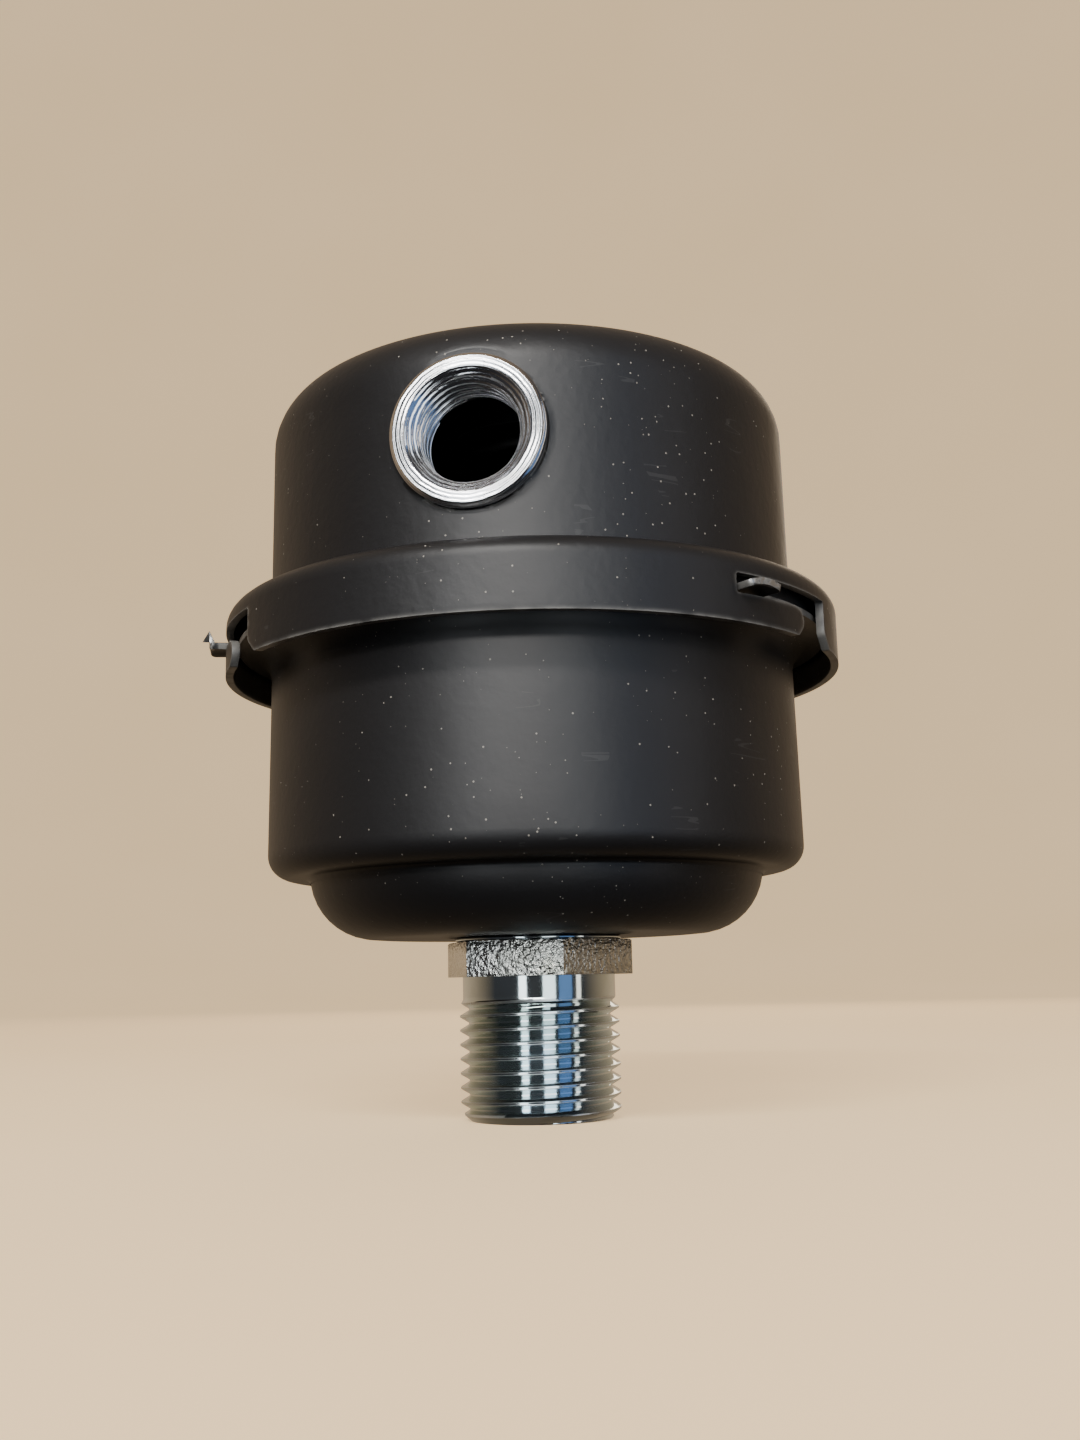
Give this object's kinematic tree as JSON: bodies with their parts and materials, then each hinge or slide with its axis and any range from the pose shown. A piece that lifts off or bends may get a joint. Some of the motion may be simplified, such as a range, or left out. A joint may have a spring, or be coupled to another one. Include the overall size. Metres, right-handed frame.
{
  "type": "pneumatic intake muffler",
  "caption": "Round two-part sheet steel muffler with a twist-lock cover, a side inlet bush and a threaded hexagon outlet nipple.",
  "frame": {"origin": "centre of the outlet nipple's free end face", "axes": "+Z along the nipple and shell axis towards the cover's top, -Y out of the side inlet"},
  "size_m": [0.0826, 0.0841, 0.0965],
  "materials": {
    "black_paint": "semi-matt stoved black paint",
    "zinc_plate": "bright blue-white zinc plate",
    "bright_nickel": "bright turned nickel plate",
    "zinc_sheet": "zinc coated sheet",
    "black_rubber": "matt moulded nitrile",
    "red_fibre": "vulcanised fibre",
    "grey_felt": "pressed felt",
    "filter_paper": "resin treated pleated paper",
    "orange_potting": "cast plastisol",
    "dark_spring_steel": "phosphated spring wire"
  },
  "bodies": {
    "base": {"base_shell": "black_paint", "outlet_nipple": "zinc_plate", "hex_washer": "zinc_plate", "nipple_fibre_washer": "red_fibre", "nipple_locknut": "zinc_plate", "damping_felt": "grey_felt", "cartridge_lower_cap": "zinc_sheet", "cartridge_upper_cap": "zinc_sheet", "cartridge_lower_potting": "orange_potting", "cartridge_upper_potting": "orange_potting", "cartridge_seal": "black_rubber", "cartridge_paper": "filter_paper", "cartridge_core": "zinc_sheet", "cartridge_guard": "zinc_sheet", "pressure_plate": "zinc_sheet"},
    "cover": {"cover_shell": "black_paint", "cover_gasket": "black_rubber", "inlet_bush": "bright_nickel", "inlet_fibre_washer": "red_fibre", "inlet_locknut": "zinc_plate", "spring_cup": "zinc_sheet", "hold_down_spring": "dark_spring_steel"}
  },
  "joints": [
    {"name": "cover_twist", "type": "hinge", "parent": "base", "child": "cover", "pos_m": [0, 0, 0.062], "axis": [0, 0, 1], "range_deg": [-18.4, 0]}
  ]
}
